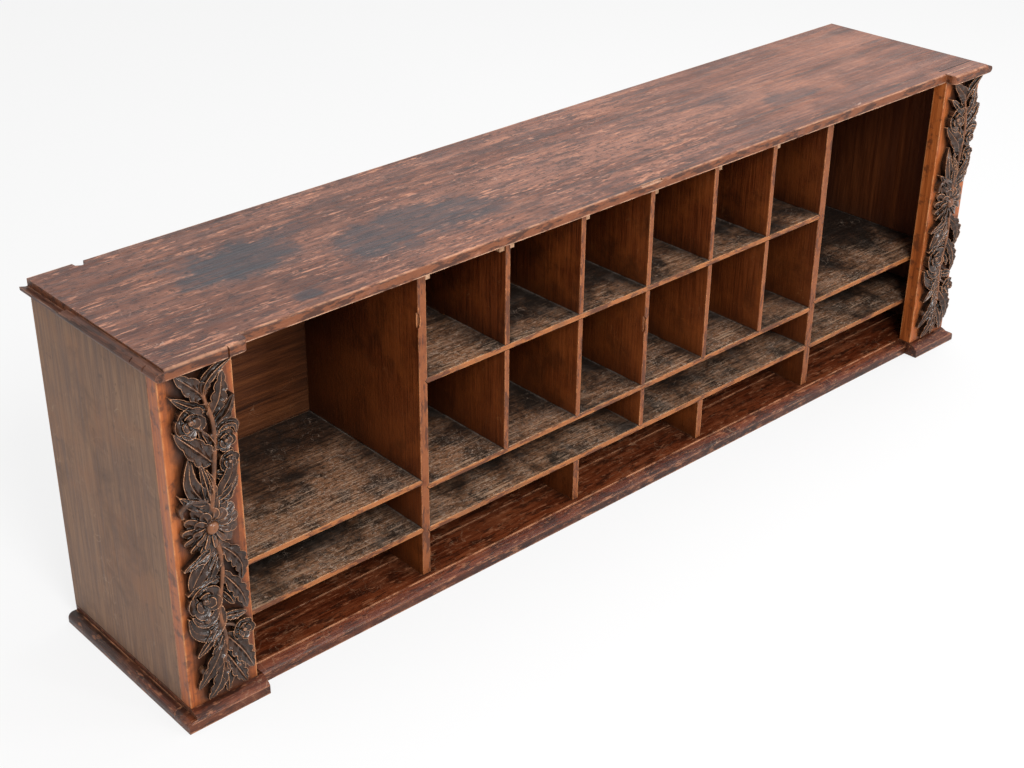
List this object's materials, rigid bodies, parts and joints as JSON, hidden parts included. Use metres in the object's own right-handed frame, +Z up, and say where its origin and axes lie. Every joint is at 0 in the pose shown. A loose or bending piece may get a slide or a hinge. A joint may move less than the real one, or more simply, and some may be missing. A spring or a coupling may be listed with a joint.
{
  "type": "pigeonhole mail sorter",
  "caption": "Long low wooden pigeonhole cabinet with open compartments and letter slots between two pilasters with carved foliage, standing on a moulded base, for sorting mail.",
  "frame": {"origin": "centre of the footprint, on the surface that the base rests on", "axes": "+X along the cabinet to the right as seen from its open front, +Y from the open front to the back, +Z up"},
  "size_m": [1.791, 0.353, 0.568],
  "materials": {
    "top_wood": "worn red-brown, ink stained",
    "base_wood": "polished dark red-brown, worn on the arrises",
    "panel_wood": "dry grey-brown",
    "pilaster_wood": "waxed orange-brown",
    "carved_wood": "dark varnish, rubbed on the high points",
    "divider_wood": "satin red-brown",
    "shelf_wood": "scuffed and dusty",
    "back_wood": "dull dark brown",
    "cleat_wood": "bare pale wood"
  },
  "bodies": {
    "root": {"top_board": "top_wood", "top_left_return": "top_wood", "top_right_return": "top_wood", "top_left_end_moulding": "top_wood", "top_right_end_moulding": "top_wood", "base_front_board": "base_wood", "base_rear_board": "base_wood", "base_left_end_moulding": "base_wood", "base_right_end_moulding": "base_wood", "base_left_return": "base_wood", "base_right_return": "base_wood", "left_end_panel": "panel_wood", "right_end_panel": "panel_wood", "left_partition": "divider_wood", "right_partition": "divider_wood", "left_pilaster": "pilaster_wood", "right_pilaster": "pilaster_wood", "back_board_1": "back_wood", "back_board_2": "back_wood", "back_board_3": "back_wood", "left_bay_upper_shelf": "shelf_wood", "left_bay_lower_shelf": "shelf_wood", "right_bay_upper_shelf": "shelf_wood", "right_bay_lower_shelf": "shelf_wood", "centre_shelf_1": "shelf_wood", "centre_shelf_2": "shelf_wood", "centre_shelf_3": "shelf_wood", "divider_1": "divider_wood", "divider_2": "divider_wood", "divider_3": "divider_wood", "divider_4": "divider_wood", "divider_5": "divider_wood", "low_divider_left": "divider_wood", "low_divider_right": "divider_wood", "left_partition_cleat": "cleat_wood", "divider_1_left_cleat": "cleat_wood", "divider_1_right_cleat": "cleat_wood", "divider_2_right_cleat": "cleat_wood", "divider_3_right_cleat": "cleat_wood", "divider_4_right_cleat": "cleat_wood", "divider_5_right_cleat": "cleat_wood", "left_carved_drop": "carved_wood", "right_carved_drop": "carved_wood"}
  },
  "joints": []
}
